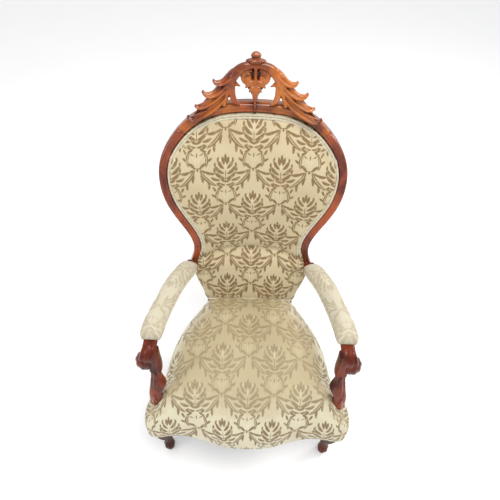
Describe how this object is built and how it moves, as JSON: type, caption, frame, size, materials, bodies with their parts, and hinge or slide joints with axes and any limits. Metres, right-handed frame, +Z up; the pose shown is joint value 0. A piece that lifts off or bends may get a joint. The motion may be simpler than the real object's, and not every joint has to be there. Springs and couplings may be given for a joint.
{
  "type": "armchair",
  "caption": "Balloon-back armchair with carved cresting, scrolled arm supports, bowed sprung seat and damask upholstery.",
  "frame": {"origin": "on the floor, at the middle of the chair's footprint box", "axes": "+Z up, -Y the way a sitter faces, +X to the sitter's left"},
  "size_m": [0.602, 0.6638, 1.1088],
  "materials": {
    "mahogany": "polished red-brown mahogany with a glossy shellac finish",
    "beech": "plain sawn beech, unpolished",
    "damask": "cut velvet damask, cream ground with olive-tan palmettes",
    "gimp": "cream double welt",
    "stuffing": "curled hair and wadding",
    "webbing": "woven jute webbing",
    "dust_cloth": "black cambric",
    "spring_steel": "copper-washed spring wire",
    "screw_steel": "plain steel screws"
  },
  "bodies": {
    "root": {"arm_cover_left": "damask", "arm_cover_right": "damask", "arm_rail_left": "mahogany", "arm_rail_right": "mahogany", "arm_screws": "screw_steel", "arm_stuffing_left": "stuffing", "arm_stuffing_right": "stuffing", "arm_support_left": "mahogany", "arm_support_right": "mahogany", "back_cover": "damask", "back_lower_rail": "beech", "back_piping": "gimp", "back_stile_left": "mahogany", "back_stile_right": "mahogany", "back_stuffing": "stuffing", "back_webbing": "webbing", "corner_blocks": "beech", "corner_screws": "screw_steel", "crest_dowels": "beech", "crest_finial": "mahogany", "crest_pendant": "mahogany", "crest_rail": "mahogany", "crest_spray_left": "mahogany", "crest_spray_right": "mahogany", "frame_dowels": "beech", "front_leg_left": "mahogany", "front_leg_right": "mahogany", "outside_back_cover": "damask", "seat_cover": "damask", "seat_dust_cloth": "dust_cloth", "seat_hessian": "webbing", "seat_rail_back": "beech", "seat_rail_front": "beech", "seat_rail_left": "beech", "seat_rail_right": "beech", "seat_springs": "spring_steel", "seat_stuffing": "stuffing", "seat_webbing": "webbing"}
  },
  "joints": []
}
